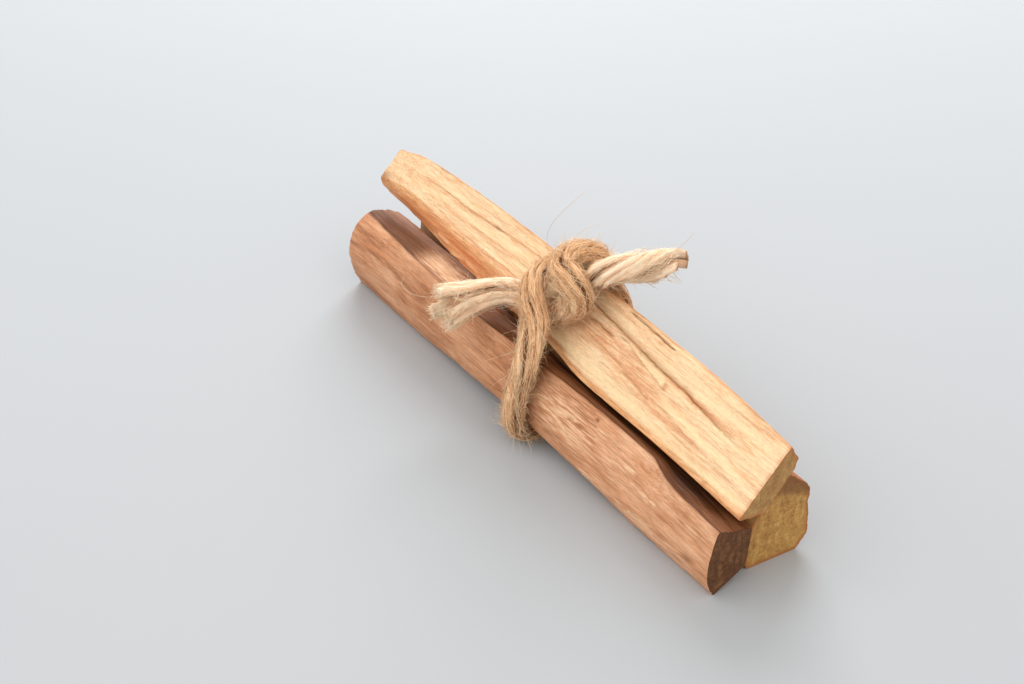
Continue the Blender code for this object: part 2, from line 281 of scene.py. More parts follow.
def cap_points(rim, side, seed, rows=26):
    """A sawn end: rings from the rim to the middle, with the marks of the saw."""
    middle = rim.mean(0)
    shares = np.linspace(1, 0, rows + 1)[1:-1]
    net = middle + (rim - middle) * shares[:, None, None]
    y, z = net[..., 1], net[..., 2]
    sawn = y * 0.55 + z * 0.85 + 0.4 * noise(y / 4, z / 4, 0, seed)
    marks = 0.05 * noise(sawn / 0.34, 0.15 * y, 0, seed + 1) + 0.04 * noise(sawn / 1.1, 0, 0, seed + 2)
    pores = -0.05 * np.maximum(noise(y / 0.22, z / 0.22, 0, seed + 3) - 0.35, 0)
    net[..., 0] += side * (marks + pores) * smooth_step((1 - shares)[:, None] / 0.08)
    return net, middle


def stick_object(name, net, attributes, seed, end_dark=None):
    """The closed surface of one stick: its long sides, which carry the attributes, and two sawn ends
    in a second material, which end_dark may darken from point to point."""
    rows, columns = net.shape[:2]
    long_sides = rows * columns
    blocks = [net.reshape(-1, 3)]
    faces = [tube_faces(rows, columns)]
    slots = [np.zeros((rows - 1) * columns, int)]
    rims = [np.ones(long_sides)]
    total = long_sides
    j = np.arange(columns)
    following = (j + 1) % columns
    for side, rim, rim_start in ((-1, net[0], 0), (1, net[-1], (rows - 1) * columns)):
        cap, middle = cap_points(rim, side, seed + 40 + side)
        ring_starts = [rim_start] + [total + i * columns for i in range(len(cap))]
        total += len(cap) * columns + 1
        blocks.extend([cap.reshape(-1, 3), middle[None]])
        rims.extend([np.repeat(np.linspace(1, 0, len(cap) + 2)[1:-1], columns), [0.0]])
        ends = []
        for outer, inner in zip(ring_starts, ring_starts[1:]):
            ends.append(np.stack([outer + j, inner + j, inner + following, outer + following], 1))
        hub = np.full(columns, total - 1)
        ends.append(np.stack([ring_starts[-1] + j, hub, ring_starts[-1] + following], 1))
        for block in ends:
            faces.append(block[:, ::-1] if side < 0 else block)
            slots.append(np.ones(columns, int))
    points = np.concatenate(blocks)
    face_rows = [row for block in faces for row in block.tolist()]
    obj = new_object(name, points, face_rows, np.concatenate(slots))
    for key, values in attributes.items():
        full = np.zeros(len(points))
        full[:long_sides] = values.ravel()
        if key == "dark" and end_dark:
            full[long_sides:] = end_dark(points[long_sides:])
        store(obj, key, full)
    store(obj, "rim", np.concatenate(rims))
    obj.data.set_sharp_from_angle(angle=math.radians(50))
    return obj


# The top stick's marks, as lines of (x, across) points on its upper face, in the part's millimetres
LEDGE = [(-4, -3.6), (4.2, -4.2), (9.5, -4.7), (13.7, -5.1), (18.6, -5.5), (23.7, -6.0), (28.8, -6.3),
         (35, -7.1), (46.6, -8.4)]
SLIVER_LEFT = [(12, -5.5), (14.8, -5.8), (19.5, -6.8), (23.5, -7.5), (25.3, -8.1)]
SLIVER_RIGHT = [(12, -5.3), (19.4, -5.75), (23.9, -6.2), (25.3, -6.9)]
# Short cracks, with their depths
CRACKS = [
    ([(4.3, -6.1), (7.5, -6.2), (10.6, -6.3)], 0.45),
    ([(12.2, -5.7), (14.4, -5.4)], 0.35),
    ([(6.0, -8.4), (12.0, -8.8), (15.5, -9.2)], 0.16),
    ([(16.0, -9.9), (24.0, -10.6)], 0.18),
    ([(26.0, -10.4), (33.0, -11.2)], 0.12),
    ([(10.4, -1.5), (14.6, -1.5), (19.0, -1.8), (22.2, -1.8)], 0.42),
    ([(-39, -7.6), (-31.3, -8.5), (-22.8, -8.8), (-12, -8.6)], 0.12),
    ([(-44, -4.6), (-29.2, -4.4), (-21.4, -3.8), (-8, -3.4)], 0.14),
    ([(-30, -6.4), (-18, -6.2), (-8, -6.0)], 0.10),
    ([(30, -3.4), (38, -3.6), (46, -4.0)], 0.08),
]
# Pale splinters on the side facet beyond the knot, as (x, corner number)
SPLINTERS = [[(-34.6, 3.1), (-31.2, 3.2)], [(-30.3, 3.9), (-26.0, 3.3)], [(-25.4, 3.3), (-19.9, 3.8)]]
# Salmon-tan bands and cream ones, with their widths and strengths
TAN_BANDS = [
    ([(2, -7.9), (12.3, -9.0), (22.1, -10.4), (30.8, -11.1), (37.6, -12.1)], 1.1, 0.9),
    ([(4, -6.4), (14, -7.3), (20, -8.6), (30, -9.2)], 0.8, 0.8),
    ([(25.6, -5.5), (34.3, -6.3), (40.2, -6.2), (46.2, -7.1)], 0.6, 0.8),
    ([(21.5, -10.7), (29, -11.7), (36.2, -12.7)], 0.6, 0.7),
    ([(30, -12.6), (38, -13.0), (48, -13.4)], 0.7, 0.55),
    ([(28, -2.2), (36, -2.6), (48, -3.2)], 0.5, 0.5),
    ([(33, -9.4), (41, -9.9), (49, -10.2)], 0.5, 0.5),
    ([(-39, -7.6), (-31.3, -8.7), (-22.8, -9.1), (-10, -9.0)], 0.45, 0.8),
    ([(-38.2, -5.2), (-29.2, -4.4), (-21.4, -3.8), (-8, -3.2)], 0.4, 0.75),
    ([(-48, -6.4), (-30, -6.6), (-12, -6.2)], 0.3, 0.5),
    ([(-48, -2.4), (-26, -2.0), (-8, -1.4)], 0.5, 0.5),
]
CREAM_BANDS = [
    ([(24.6, -8.7), (32, -9.8), (38.2, -10.7), (42.3, -11.1)], 0.6, 1.0),
    ([(-2, -11.0), (3, -11.9), (8.5, -12.6), (17.6, -13.3), (34, -14.4), (49, -14.4)], 0.9, 1.0),
    ([(27, -4.2), (38, -4.8), (49, -5.2)], 0.6, 0.6),
    ([(36, -7.6), (49, -8.6)], 0.5, 0.7),
    ([(-46, -5.9), (-24, -5.3), (-8, -4.8)], 0.6, 0.6),
]


def ledge_marks(own_x, across, face):
    """The relief of the long ledge, whose layer to the lower left stands higher, the groove along
    it and the shade beside the groove."""
    ledge = off_line(own_x, across, LEDGE, 71, 0.12)
    reach = face * in_range(own_x, -6, 40, 14)
    layer = 0.42 * reach * smooth_step(-ledge / 0.12) * hump(np.minimum(ledge, 0) / 5.5)
    groove = reach * hump((ledge - 0.14) / 0.17)
    relief = layer - 0.36 * groove * (0.65 + 0.35 * noise(own_x / 3, 0, 0, 72))
    return relief, groove, reach * hump((ledge - 0.55) / 0.5)


def sliver_marks(own_x, across, face):
    """A sliver that has lifted at its near end, and that end."""
    left = off_line(own_x, across, SLIVER_LEFT, 73, 0.08)
    right = off_line(own_x, across, SLIVER_RIGHT, 74, 0.08)
    sliver = face * smooth_step(left / 0.12) * smooth_step(-right / 0.12)
    sliver = sliver * in_range(own_x, 13.5, 25.2, 0.25) * smooth_step((own_x - 11) / 9)
    lift_end = face * smooth_step((left + 0.1) / 0.15) * smooth_step((0.1 - right) / 0.15)
    return sliver, lift_end * hump((own_x - 25.35) / 0.22)


def crack_marks(own_x, across, face):
    """How deep the short cracks go, and the painted shade in them, darker the deeper they go."""
    total, dark = 0, 0
    for seed, (line, depth) in enumerate(CRACKS, 75):
        mark = face * stroke(own_x, across, line, seed, width=0.13, ease=1.6, wobble=0.13)
        total = total + depth * mark
        dark = np.maximum(dark, mark * min(1, depth / 0.35))
    return total, dark


def top_stick():
    """The pale stick: a broad upper face with a long ledge, cracks and a lifted sliver."""
    net, corner = dense_surface("stick_top", (4, 4, 2, 2, 2, 3, 2, 3), spacing=0.15, rows=300)
    place = np.moveaxis(net, 2, 0)
    x, y, z = place
    own_x = x - SHIFT[0]
    across = (y - SHIFT[1] - FACE_Y) * FACE_COS + (z - FACE_Z) * FACE_SIN
    face = smooth_step(corner / 0.12) * smooth_step((2 - corner) / 0.12)
    ledge, groove, shade = ledge_marks(own_x, across, face)
    sliver, lift_end = sliver_marks(own_x, across, face)
    crack_depth, cracks = crack_marks(own_x, across, face)
    # Rough, torn fibres near the right edge and just beyond the knot
    torn = hump((across + 1.6) / 0.9) * in_range(own_x, 6, 24, 5)
    torn = face * np.maximum(torn, 0.8 * hump((across + 6.6) / 2.6) * in_range(own_x, 5, 20, 5))
    fray = grain(place, 1.4, 0.2, 9)
    splinters, nicks = 0, 0
    for seed, line in enumerate(SPLINTERS, 86):
        mark = stroke(own_x, corner, line, seed, width=0.16, ease=0.9, wobble=0.05)
        splinters = np.maximum(splinters, mark)
    for edge in (0, 2, 4, 6, 7, 8):
        nicks = nicks + hump((corner - edge) / 0.12) * np.maximum(noise(x / 1.8, edge, 0, 15), 0)
    height = grooves(place, 5) + ledge + 0.6 * sliver - crack_depth + 0.13 * torn * fray
    net = raised(net, height + 0.32 * splinters - 0.16 * nicks)

    bands = strokes(own_x, across, TAN_BANDS, 90, ease=6, wobble=0.35)
    cream = strokes(own_x, across, CREAM_BANDS, 95, ease=6, wobble=0.3)
    # Painted light: near the knot the face takes paler colours, against the knot's shade
    painted_light_by_knot = hump((own_x - 8) / 8)
    spot = face * hump((own_x + 22.9) / 1.2) * hump((across + 3.9) / 0.3)
    tip_spot = hump((own_x + 51.2) / 1.3) * hump((corner - 1.9) / 0.25)
    red = smooth_step((corner - 2.12) / 0.4) * smooth_step((4.2 - corner) / 0.4)
    red = red * in_range(own_x, -47, -6, 8) * (0.75 + 0.4 * noise(own_x / 6, corner / 0.3, 0, 97))
    sparkle = torn * smooth_step(1.6 * fray + 0.25)
    cut_line = smooth_step((x - net[-1:, :, 0] + 0.45) / 0.2)
    edge_line = face * hump((across + 0.2) / 0.3) * in_range(own_x, -52, 30, 4)
    # Painted shade in the cracks, in the ledge's groove and beside it; the spots are dark marks of the wood's
    # own
    dark = 0.8 * cracks + 0.6 * groove + 0.34 * shade + 0.7 * spot + 0.75 * tip_spot
    rust_and_highlight = 0.85 * lift_end + 0.35 * edge_line + 1.3 * red + 0.6 * sparkle + 0.45 * tip_spot + 0.6 * cut_line
    attributes = {
        "warm": clipped(face * bands + 0.2 * torn) - 0.35 * face * painted_light_by_knot,
        "light": clipped(face * cream + splinters + 0.7 * sliver),
        "dark": clipped(dark),
        "side": 1 - face,
        "rust_and_highlight": clipped(rust_and_highlight),
    }
    return stick_object("stick_top_wood", net, attributes, 5)


# Pale flecks on the left stick, as start and end along X, corner numbers there, and strength
FLECKS = [
    (24.8, 31.1, 1.38, 1.08, 1.0),
    (31.2, 37.4, 1.58, 1.46, 0.9),
    (20.5, 23.5, 0.71, 0.74, 0.9),
    (38.0, 49.0, 1.1, 0.9, 0.6),
]
# The line between two layers at the left stick's far end, as (x, corner number)
FAR_LINE = [(-51, 1.75), (-44, 1.45), (-38.1, 1.15), (-27.4, 1.5), (-20, 1.6)]


def left_flecks_and_highlight(x, corner, outer, low_line):
    """Pale flecks on the left stick's outer face, and a pale line low on it that is a painted highlight."""
    fleck = outer * hump((x - 14) / 8) * hump((corner - 1.3) / 0.9)
    for start, end, low, high, strength in FLECKS:
        line = np.interp(x, (start, end), (low, high)) + 0.06 * noise(x / 1.5, low, 0, 37)
        mark = hump((corner - line) / 0.13) * in_range(x, start, end, 1.5)
        fleck = np.maximum(fleck, outer * strength * mark)
    # The pale line low on the face is a painted highlight
    return np.maximum(fleck, hump((corner - 2.88) / 0.12) * low_line)


def left_shade(x, corner, outer, upper, patch):
    """How dark the left stick is: its dark upper facet with painted shade under the top stick, painted
    shade in its hollows, painted shadow beside the twine, and stains.
    """
    # The facet's own dark colour, with painted shade from the top stick added over its nearer half
    facet = 0.56 + 0.44 * smooth_step((x + 24) / 22) * (1 - 0.2 * smooth_step((x - 41) / 7))
    # Painted shade in the narrow strip of the facet beneath the top stick's edge
    wedge_shade = in_range(x, 4, 46, 6) * smooth_step((8.75 - corner) / 0.5)
    far_strip = upper * hump((corner - 8.7) / 0.5) * in_range(x, -52, -31, 5)
    low_notch = outer * hump((x - 43.5) / 1.6) * hump((corner - 3.1) / 0.14)
    # Painted shade in a dip of the upper facet
    hollow_shade = upper * hump((x - 39) / 4) * hump((corner - 8.4) / 0.45)
    stain = hump((x - 46) / 1.3) * hump((corner - 2.54) / 0.2)
    duller = outer * smooth_step((22 - x) / 15)
    # Painted shadow of the twine on the outer face beside it
    twine_shadow = outer * hump((x - 5.0) / 4.0) * hump((corner - 0.1) / 1.1)
    shade = upper * (facet * (1 - 0.8 * patch) + 0.34 * wedge_shade) + 0.5 * (far_strip + low_notch)
    return shade + 0.6 * (hollow_shade + stain) + 0.10 * duller + 0.8 * twine_shadow


def left_stick():
    """The reddish-brown stick: a flecked outer face with a painted highlight low on it and painted
    shadow beside the twine, and a dark upper facet behind its ridge with painted shade under the top stick.
    """
    net, corner = dense_surface("stick_left", (3, 3, 3, 2, 3, 2, 2, 2, 3), spacing=0.2, rows=300)
    far_end = smooth_step((-38 - net[..., 0]) / 8)
    crown = np.maximum(smooth_step((1 - corner) / 0.5), smooth_step((corner - 7.6) / 0.5))
    net = rounded(net, np.maximum(in_range(corner, 0.35, 3.7, 0.5), far_end * crown), 60)
    place = np.moveaxis(net, 2, 0)
    x, y, z = place
    outer = smooth_step((4.1 - corner) / 0.2)
    upper = smooth_step((corner - 6.9) / 0.2) * smooth_step((9.0 - corner) / 0.05)
    ridge = np.minimum(corner, 9 - corner)
    low_edge = hump((corner - 4) / 0.15)
    low_line = in_range(x, 19, 38, 3)
    pit = hump((x - 20.0) / 0.33) * hump((corner - 0.38) / 0.07)
    height = grooves(place, 25) + 0.05 * outer * grain(place, 2.6, 0.4, 31)
    height = height + upper * (0.16 * grain(place, 10, 0.5, 32) + 0.06 * grain(place, 3, 0.22, 33))
    height = height + 0.14 * hump(ridge / 0.2) * noise(x / 2.5, 0, 0, 34)
    height = height + 0.12 * low_edge * noise(x / 1.4, 0, 0, 35) - 0.3 * pit
    height = height + 0.10 * hump((corner - 2.88) / 0.2) * low_line * noise(x / 0.9, 0, 0, 38)

    patch = upper * hump((corner - 8.6) / 0.42) * in_range(x, -33, -21, 5)
    past_line = off_line(x, corner, FAR_LINE, 39, 0.05)
    far_line = outer * hump(past_line / 0.10) * in_range(x, -50, -24, 6)
    far_rust = outer * hump((past_line + 0.12) / 0.14) * in_range(x, -47, -36, 5)
    dark = left_shade(x, corner, outer, upper, patch)
    # The pit is darkened with painted shade
    dark = dark + 0.7 * hump(ridge / 0.06) + 0.5 * far_line + pit
    warm = smooth_step(0.5 + 0.5 * grain(place, 14, 2.5, 36)) + 0.9 * smooth_step((x - 18) / 12)
    attributes = {
        "warm": outer * warm,
        "light": clipped(1.2 * left_flecks_and_highlight(x, corner, outer, low_line)) + 1.5 * patch,
        "dark": clipped(dark, 1.75),
        "side": smooth_step((corner - 4.1) / 0.4) * (1 - upper),
        # The rough lower edge is coloured orange as a painted highlight; the far end's orange line is the
        # wood's own
        "rust_and_highlight": clipped(0.7 * low_edge * in_range(x, 10, 42, 8) + 0.6 * far_rust),
    }
    return stick_object("stick_left_wood", raised(net, height), attributes, 25)


def right_stick():
    """The golden stick behind, with a reddish outer edge."""
    net, corner = dense_surface("stick_right", (2, 2, 2, 2, 3, 3, 3, 3, 3), spacing=0.3, rows=190)
    place = np.moveaxis(net, 2, 0)
    x, y, z = place
    outer = smooth_step((corner - 4.9) / 0.3)
    height = grooves(place, 55) + 0.09 * outer * grain(place, 5, 0.6, 61)
    # Darker streaks on the outer face are the wood's own; the far end is darkened as painted shade
    dark = 0.4 * outer * smooth_step(grain(place, 9, 0.9, 64)) + 0.5 * smooth_step((-30 - x) / 8)
    attributes = {
        "warm": outer * smooth_step(0.5 + 0.6 * grain(place, 12, 2.0, 62)),
        "light": 0.5 * (1 - outer) * smooth_step(0.3 + grain(place, 15, 1.2, 63)),
        "dark": dark,
        "side": 1 - outer,
        "rust_and_highlight": outer * smooth_step(0.7 + 0.5 * grain(place, 7, 0.8, 65)),
    }
    net = raised(net, height * smooth_step(z / 0.6))
    return stick_object("stick_right_wood", net, attributes, 55, stained_corner)


def stained_corner(points):
    """The stain over the upper part of the right stick's sawn ends."""
    _, y, z = (points - SHIFT).T
    line = 12.9 - 0.3 * (y - 12.9) + 0.6 * noise(y / 1.5, 0, 0, 66)
    return 0.72 * smooth_step((z - line) / 1.6 + 0.5)


# The twine's route


def on_face(x, across, height):
    """A point over the top stick's upper face, in the part's own millimetres."""
    y = FACE_Y + across * FACE_COS - height * FACE_SIN
    return (x, y, FACE_Z + across * FACE_SIN + height * FACE_COS)


# The part's route, from the left end to the right end, as (point, width, thickness)
ROUTE = [
    ((-12.1, -7.37, 19.7), 7.2, 6.2),
    ((-12.0, -4.5, 19.6), 6.2, 5.6),
    ((-11.9, -1.2, 19.4), 5.2, 5.0),
    ((-11.4, 2.2, 19.1), 4.6, 4.4),
    ((-9.6, 4.9, 19.4), 4.2, 4.2),
    ((-6.6, 6.2, 19.6), 3.9, 3.9),
    (on_face(-3.6, -10.2, 2.6), 3.8, 3.6),
    (on_face(-0.9, -9.9, 2.4), 3.9, 3.4),
    (on_face(1.5, -8.0, 2.8), 4.3, 3.6),
    (on_face(3.6, -5.7, 4.0), 4.4, 3.6),
    (on_face(4.2, -4.1, 5.9), 4.2, 3.5),
    (on_face(2.8, -3.1, 7.6), 4.2, 3.6),
    (on_face(0.3, -2.2, 8.0), 4.0, 3.6),
    (on_face(-0.8, -0.4, 7.2), 3.8, 3.6),
    (on_face(-0.4, 1.4, 5.7), 3.8, 3.6),
    ((0.9, 15.4, 28.1), 3.8, 3.4),
    ((2.2, 16.5, 26.0), 4.0, 2.7),
    ((3.0, 17.4, 23.2), 4.2, 2.3),
    ((3.4, 18.5, 20.4), 4.4, 2.4),
    ((3.6, 19.5, 16.4), 4.4, 2.7),
    ((3.8, 20.5, 12.2), 4.4, 2.7),
    ((3.9, 21.0, 8.2), 4.4, 2.7),
    ((3.9, 21.2, 4.6), 4.4, 2.7),
    ((3.9, 19.9, 2.0), 4.4, 2.5),
    ((3.9, 16.8, 1.28), 4.6, 2.2),
    ((3.8, 12.0, 1.3), 4.6, 2.2),
    ((3.8, 7.0, 1.3), 4.6, 2.2),
    ((3.8, 2.6, 1.3), 4.6, 2.2),
    ((3.9, -0.6, 1.35), 4.6, 2.2),
    ((4.0, -3.0, 2.3), 4.5, 2.4),
    ((4.1, -4.0, 4.6), 4.4, 2.7),
    ((4.1, -3.9, 7.4), 4.4, 2.7),
    ((4.1, -3.2, 10.4), 4.4, 2.7),
    ((3.7, -1.9, 13.2), 4.4, 2.7),
    ((2.6, 0.0, 15.8), 4.6, 3.0),
    ((1.6, 1.6, 18.0), 5.0, 3.2),
    ((0.6, 3.0, 20.1), 5.2, 3.3),
    (on_face(-1.1, -10.1, 6.4), 5.0, 3.5),
    (on_face(-2.8, -8.1, 6.9), 4.6, 3.6),
    (on_face(-4.5, -6.0, 6.4), 4.2, 3.6),
    (on_face(-5.1, -3.9, 4.9), 3.8, 3.6),
    (on_face(-4.2, -2.2, 3.3), 3.8, 3.5),
    (on_face(-2.1, -1.6, 2.4), 3.8, 3.3),
    (on_face(0.3, -1.5, 2.3), 3.8, 3.2),
    (on_face(2.6, -1.0, 3.2), 3.8, 3.3),
    ((4.6, 12.8, 27.6), 4.0, 3.6),
    ((6.4, 13.5, 29.2), 4.2, 3.9),
    ((8.1, 15.5, 30.1), 4.4, 4.2),
    ((9.6, 18.6, 30.2), 4.6, 4.4),
    ((11.0, 21.5, 29.8), 4.6, 4.4),
    ((12.5, 24.3, 29.3), 4.4, 4.4),
]
# How much fuller than the part's solid the loose strands are, at places along the twine
FULLNESS = [(0, 1.08), (14, 1.02), (19, 1.08), (25, 1.22), (38, 1.25), (45, 1.15), (50, 1.0), (100, 1.0),
            (109, 1.0), (117, 1.06), (127, 1.06), (137, 1.04), (146, 1.08), (154, 1.14)]
YARN_RADIUS = 2.2
PLY_RADIUS = 0.62
PLY_RING = YARN_RADIUS - PLY_RADIUS
# Plies 0 to 7 are the outer ones, and three more fill the middle
OUTER_PLIES = 8
CORE_PLIES = 3
# How far apart the plies lie in the straightened yarn that their texture is laid on
PLY_APART = 200
# The length of each loose end, and how far the cut at the right end slants
LOOSE_END = 17
END_SLANT = 4.6
# The knot's stretch, measured from the left end, and the standing strand's, from the right end
KNOT = (17, 50)
STANDING = (14, 62)


def mixed(low, high, low_time, high_time, at):
    """A value between two others, as far as a time is between their times."""
    return low + (high - low) * (at - low_time) / (high_time - low_time)


def smooth_route(points, step=0.05):
    """The part's smooth curve through the route's points, evenly spaced, with their sizes."""
    points = np.array([(*place, width, thickness) for place, width, thickness in points])
    points = np.vstack([2 * points[0] - points[1], points, 2 * points[-1] - points[-2]])
    gaps = np.linalg.norm(np.diff(points[:, :3], axis=0), axis=1)
    times = np.concatenate([[0], np.cumsum(np.sqrt(gaps))])
    fine = []
    for i in range(1, len(points) - 2):
        p, t = points[i - 1 : i + 3], times[i - 1 : i + 3]
        for at in np.linspace(t[1], t[2], 24, endpoint=False):
            first = [mixed(p[k], p[k + 1], t[k], t[k + 1], at) for k in range(3)]
            second = [mixed(first[k], first[k + 1], t[k], t[k + 2], at) for k in range(2)]
            fine.append(mixed(second[0], second[1], t[1], t[2], at))
    fine = np.array(fine + [points[-2]])
    run = np.concatenate([[0], np.cumsum(np.linalg.norm(np.diff(fine[:, :3], axis=0), axis=1))])
    even = np.linspace(0, run[-1], int(run[-1] / step))
    return even, np.stack([np.interp(even, run, values) for values in fine.T], 1)


class Strand:
    """The twine's centreline with its two directions of width and thickness."""

    def __init__(self):
        self.run, route = smooth_route(ROUTE)
        self.length = self.run[-1]
        centre = route[:, :3] + SHIFT
        tangent = unit(np.gradient(centre, axis=0))
        pressing = np.zeros_like(tangent)
        lowest = int(np.argmin(centre[:, 2]))
        pressing[lowest] = (0, 0, -1)
        for i in list(range(lowest, len(centre))) + list(range(lowest - 1, -1, -1)):
            before = pressing[lowest] if i == lowest else pressing[i - 1 if i > lowest else i + 1]
            pressing[i] = unit(before - tangent[i] * (before @ tangent[i]))
        sideways = np.cross(tangent, pressing)
        self.table = np.hstack([centre, tangent, pressing, sideways, route[:, 3:5]])

    def at(self, run):
        """Centre, tangent, pressing, sideways, width and thickness at places along the twine."""
        run = np.asarray(run, float)
        inside = np.clip(run, 0, self.length)
        values = np.stack([np.interp(inside, self.run, column) for column in self.table.T], -1)
        centre, tangent, pressing, sideways, width, thickness = np.split(values, (3, 6, 9, 12, 13), -1)
        return centre + tangent * (run - inside)[..., None], tangent, pressing, sideways, width, thickness

    def place(self, run, across, through):
        """A point from its place in a round yarn of the full radius, pressed as the twine is."""
        centre, _, pressing, sideways, width, thickness = self.at(run)
        fuller = np.interp(run, *zip(*FULLNESS))[..., None] / (2 * YARN_RADIUS)
        aside = sideways * width * across[..., None]
        return centre + fuller * (aside + pressing * thickness * through[..., None])

    def round_place(self, run, theta, out):
        """A point at a turn round the centreline and a distance from it."""
        return self.place(run, out * np.sin(theta), out * np.cos(theta))


strand = Strand()


def twist(run):
    """The turn of the plies round the centreline, which is slack except at the right end."""
    tight = np.maximum(run - (strand.length - 26), 0)
    slack = np.minimum(run, 16)
    return -2 * math.pi * (run / 70 - slack / 100 + tight / 42)


def spread(run):
    """How far the plies stand apart: flared at the left end and slightly at the right end."""
    return 1 + 0.17 * smooth_step((8 - run) / 8) + 0.10 * smooth_step((run - strand.length + 6) / 6)


def paleness(run):
    """How much paler the twine is at its two loose ends."""
    return clipped(smooth_step((LOOSE_END - run) / 3) + smooth_step((run - strand.length + LOOSE_END) / 3))


def cut_back(theta):
    """How much shorter the twine is cut on one side of its right end: most on the lower near side."""
    _, _, pressing, sideways, _, _ = strand.at(strand.length)
    side = unit(sideways * np.sin(theta)[..., None] + pressing * np.cos(theta)[..., None])
    _, up, back = view_directions()
    lean = side @ (0.6 * np.array(back) - 0.8 * np.array(up))
    return END_SLANT * smooth_step(0.45 + 0.65 * lean)


# The twine's plies


def ply_centre(ply, run):
    """A ply's distance from the centreline and its turn. The outer plies bunch together in three
    strands, most at the loose ends."""
    if ply >= OUTER_PLIES:
        turn = 2 * math.pi * ply / 3 + twist(run) + 0.3 * noise(run / 8, ply * 7.3, 0, 101)
        return 0.42 * spread(run), turn
    even = ply / OUTER_PLIES
    middle = math.floor(3 * even + 0.5) / 3
    pale = paleness(run)
    bunched = even + (0.15 + 0.33 * pale) * (middle - even)
    loose = (0.30 - 0.12 * pale) * noise(run / 7, ply * 7.3, 0, 101)
    bulge = 0.16 * pale * (1 - 6 * abs(even - middle))
    ring = PLY_RING * spread(run) * (1 + bulge + 0.14 * noise(run / 5, ply * 3.1, 0, 102))
    return ring, 2 * math.pi * bunched + twist(run) + loose


def ply_rings(ply, start, end, rows, sides):
    """One ply's surface as rings of points, with its place in the straightened yarn, how near each
    point is to the cut tip, and the painted shade it gets for lying deep, beneath or on the far side."""
    run = np.linspace(start, end, rows)
    run = np.concatenate([[start, start], run, [end, end]])
    shrink = np.ones(len(run))
    shrink[:2], shrink[-2:] = (0.1, 0.6), (0.55, 0.1)
    ring, turn = ply_centre(ply, run)
    theta = np.linspace(0, 2 * math.pi, sides, endpoint=False)[None, :]
    spin = theta + turn[:, None] * 0.5
    cosine, sine = np.cos(spin), np.sin(spin)
    radius = PLY_RADIUS * (1 + 0.14 * noise(run / 5, ply * 5.7, 0, 103))[:, None]
    ridges = noise(run[:, None] / 10, cosine * 1.9 + 9 * ply, sine * 1.9, 104)
    finer = noise(run[:, None] / 5, cosine * 4.0 + 9 * ply, sine * 4.0, 105)
    left = 0.78 + 0.22 * smooth_step((run - start) / 1.6)
    right = 0.90 + 0.10 * smooth_step((end - run) / 0.3)
    radius = radius * (1 + 0.16 * ridges + 0.13 * finer) * (left * right * shrink)[:, None]
    angle = theta + turn[:, None]
    wide = (ring * np.sin(turn))[:, None] + radius * np.sin(angle)
    deep = (ring * np.cos(turn))[:, None] + radius * np.cos(angle)
    ragged = 0.12 * noise(theta * 1.3, ply * 4.1, 0, 106) * np.ones((len(run), 1))
    near_end = smooth_step((run - end) / 0.4 + 1) - smooth_step((start - run) / 0.4 + 1)
    places = run[:, None] + ragged * near_end[:, None]
    points = strand.place(places, wide, deep)
    straight = np.stack([places + 2 + PLY_APART * ply, radius * cosine, radius * sine], -1)
    tip = np.broadcast_to(smooth_step((run - end) / 0.7 + 1)[:, None], wide.shape)
    # Painted shade deep between the plies and beneath the twine, lighter at the loose ends
    crevice = smooth_step((0.93 - np.hypot(wide, deep) / (YARN_RADIUS * spread(run)[:, None])) / 0.25)
    beneath = smooth_step((-deep / YARN_RADIUS - 0.15) / 0.7)
    pale = paleness(run)[:, None]
    # Painted shade on the side towards the square-cut ends, where the twine stands over the left stick
    standing = in_range(run, strand.length - 61, strand.length - 47, 5)[:, None]
    far_side_shade = standing * smooth_step((wide / YARN_RADIUS - 0.1) / 0.5)
    painted_shade = crevice * (1 - 0.55 * pale) + 0.7 * beneath * (1 - pale) + 0.9 * far_side_shade
    return points, straight, tip, clipped(painted_shade)


def plies_object(name, plies, rows, sides):
    """Several plies as one mesh of closed tubes."""
    rng = np.random.default_rng(7 + plies[0])
    made, faces = [], []
    for number, ply in enumerate(plies):
        start = -0.2 + 1.9 * rng.random()
        _, turn = ply_centre(ply, np.array([strand.length]))
        end = strand.length + 1.3 - 1.1 * rng.random() - cut_back(turn)[0]
        made.append(ply_rings(ply, start, end, rows, sides))
        count = len(made[-1][0])
        first = number * count * sides
        last = first + (count - 1) * sides
        faces.extend(tube_faces(count, sides, first).tolist())
        faces.append(list(range(first + sides - 1, first - 1, -1)))
        faces.append(list(range(last, last + sides)))
    points, straight, tip, deep = (np.concatenate(values) for values in zip(*made))
    straight = straight.reshape(-1, 3)
    obj = new_object(name, points.reshape(-1, 3), faces)
    store(obj, "yarn", straight)
    store(obj, "pale", paleness(straight[:, 0] % PLY_APART - 2))
    store(obj, "tip", tip.ravel())
    # deep holds each point's painted shade
    store(obj, "deep", deep.ravel())
    obj.data.set_sharp_from_angle(angle=math.radians(60))
    return obj


# The twine's fibres


def fibres_object(name, paths, radii, pale=0.0):
    """Many fine fibres as one mesh: three-sided tubes along paths of equal numbers of points."""
    count, length = paths.shape[:2]
    tangent = unit(np.gradient(paths, axis=1))
    helper = np.where(np.abs(tangent[..., 2:3]) < 0.8, [0, 0, 1.0], [1.0, 0, 0])
    first = unit(np.cross(tangent, helper))
    second = np.cross(tangent, first)
    corners = []
    for turn in 2 * math.pi / 3 * np.arange(3):
        corners.append(paths + radii[..., None] * (first * math.cos(turn) + second * math.sin(turn)))
    points = np.stack(corners, 2).reshape(-1, 3)
    ends = np.array([[2, 1, 0], [3 * length - 3, 3 * length - 2, 3 * length - 1]])
    starts = np.arange(count)[:, None, None] * length * 3
    faces = (tube_faces(length, 3) + starts).reshape(-1, 4).tolist() + (ends + starts).reshape(-1, 3).tolist()
    obj = new_object(name, points, faces)
    tone = np.random.default_rng(3).random(count)
    store(obj, "tone", np.repeat(tone, length * 3))
    store(obj, "pale", np.repeat(pale * np.ones(count), length * 3))
    return obj


